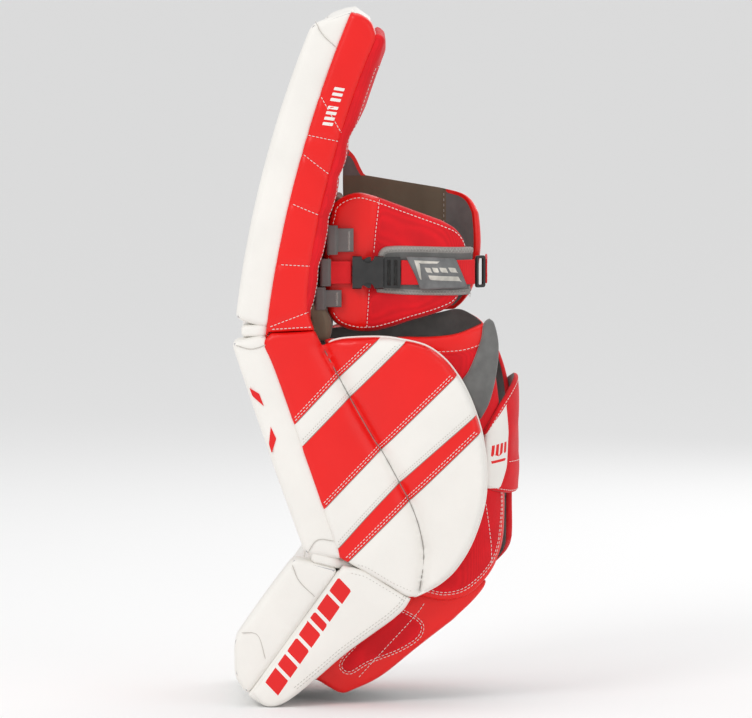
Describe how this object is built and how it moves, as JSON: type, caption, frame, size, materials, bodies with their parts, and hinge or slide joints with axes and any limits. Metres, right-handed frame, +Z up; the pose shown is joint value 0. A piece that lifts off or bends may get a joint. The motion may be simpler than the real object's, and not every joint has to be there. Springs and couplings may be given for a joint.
{
  "type": "ice hockey goalie leg pad",
  "caption": "Upright padded leg guard: thigh, shin and boot sections with an edge roll, calf and knee wings, leg wraps and a buckled knee strap.",
  "frame": {"origin": "on the leg's axis in the calf channel, level with the break below the knee", "axes": "+Z up along the leg, -Y the striking face, +X the outer side of the left leg"},
  "size_m": [0.2927, 0.3118, 0.7603],
  "materials": {
    "white_leather": "smooth synthetic leather, slight gloss",
    "red_leather": "smooth synthetic leather, slight gloss",
    "red_nylon": "woven ballistic nylon",
    "olive_nylon": "woven nylon",
    "grey_lining": "brushed lining",
    "grey_suede": "synthetic suede",
    "grey_webbing": "woven webbing",
    "red_webbing": "woven webbing",
    "foam": "closed-cell foam",
    "stiffener_sheet": "polyethylene sheet",
    "black_plastic": "moulded acetal",
    "label_rubber": "moulded rubber",
    "eyelet_steel": "plated"
  },
  "bodies": {
    "shin": {"shin_cover": "white_leather", "shin_front_foam": "foam", "shin_stiffener": "stiffener_sheet", "shin_back_foam": "foam", "shin_roll_cover": "white_leather", "shin_roll_foam": "foam", "calf_lining": "grey_lining", "outer_calf_gusset": "white_leather", "inner_calf_gusset": "white_leather", "outer_calf_wrap": "red_leather", "inner_calf_wrap": "red_leather", "wrap_pull_tab": "grey_suede"},
    "thigh": {"thigh_cover": "white_leather", "thigh_front_foam": "foam", "thigh_stiffener": "stiffener_sheet", "thigh_back_foam": "foam", "thigh_roll_cover": "white_leather", "thigh_roll_foam": "foam", "thigh_back_panel": "red_nylon", "knee_cradle": "olive_nylon"},
    "boot": {"boot_cover": "white_leather", "boot_front_foam": "foam", "boot_stiffener": "stiffener_sheet", "boot_back_foam": "foam", "boot_roll_cover": "white_leather", "boot_roll_foam": "foam", "boot_liner": "grey_lining", "boot_outer_wall": "white_leather", "boot_inner_wall": "white_leather", "boot_outer_wrap": "red_leather", "boot_inner_wrap": "red_leather", "toe_tab": "black_plastic", "toe_eyelet": "eyelet_steel"},
    "outer_calf_flap": {"outer_calf_wing": "white_leather"},
    "inner_calf_flap": {"inner_calf_wing": "white_leather"},
    "outer_knee_flap": {"outer_knee_wing": "red_leather", "strap_backing": "grey_suede", "strap_loop_upper": "grey_webbing", "strap_loop_middle": "grey_webbing", "strap_loop_lower": "grey_webbing", "anchor_tab_upper": "grey_webbing", "anchor_tab_lower": "grey_webbing", "buckle_strap": "red_webbing", "buckle_socket": "black_plastic"},
    "inner_knee_flap": {"inner_knee_wing": "olive_nylon", "knee_block_cover": "red_leather", "knee_block_foam": "foam", "ring_tab": "red_webbing"},
    "strap": {"buckle_plug": "black_plastic", "buckle_latch_arms": "black_plastic", "knee_strap": "red_webbing", "strap_sleeve": "label_rubber"},
    "ring": {"strap_ring": "black_plastic"},
    "calf_strap": {"calf_strap_panel": "red_leather"}
  },
  "joints": [
    {"name": "knee_break", "type": "hinge", "parent": "shin", "child": "thigh", "pos_m": [0, -0.143, 0.005], "axis": [1, 0, 0], "range_deg": [-8, 12], "stiffness_Nm_per_rad": 12},
    {"name": "boot_break", "type": "hinge", "parent": "shin", "child": "boot", "pos_m": [0, -0.062, -0.253], "axis": [1, 0, 0], "range_deg": [-5, 8], "stiffness_Nm_per_rad": 12},
    {"name": "outer_calf_wing_hinge", "type": "hinge", "parent": "shin", "child": "outer_calf_flap", "pos_m": [0.106, -0.085, -0.012], "axis": [0, 0.4894, -0.872], "range_deg": [0, 40], "stiffness_Nm_per_rad": 3},
    {"name": "inner_calf_wing_hinge", "type": "hinge", "parent": "shin", "child": "inner_calf_flap", "pos_m": [-0.142, -0.085, -0.012], "axis": [0, -0.4894, 0.872], "range_deg": [0, 40], "stiffness_Nm_per_rad": 4},
    {"name": "outer_knee_wing_hinge", "type": "hinge", "parent": "thigh", "child": "outer_knee_flap", "pos_m": [0.0845, -0.09942, 0.0119], "axis": [0, -0.1838, -0.983], "range_deg": [0, 35], "stiffness_Nm_per_rad": 3},
    {"name": "inner_knee_wing_hinge", "type": "hinge", "parent": "thigh", "child": "inner_knee_flap", "pos_m": [-0.072, -0.09942, 0.0119], "axis": [0, 0.1838, 0.983], "range_deg": [0, 12], "stiffness_Nm_per_rad": 4},
    {"name": "buckle_release", "type": "slide", "parent": "outer_knee_flap", "child": "strap", "axis": [0, 1, 0], "range_m": [0, 0.02], "deforming": ["buckle_latch_arms"]},
    {"name": "ring_swivel", "type": "hinge", "parent": "strap", "child": "ring", "pos_m": [0.06222, 0.08433, 0.0665], "axis": [0, 0, 1], "range_deg": [-15, 15]},
    {"name": "calf_strap_peel", "type": "hinge", "parent": "shin", "child": "calf_strap", "pos_m": [-0.05971, 0.11395, -0.11], "axis": [0, 0, 1], "range_deg": [0, 60]}
  ]
}
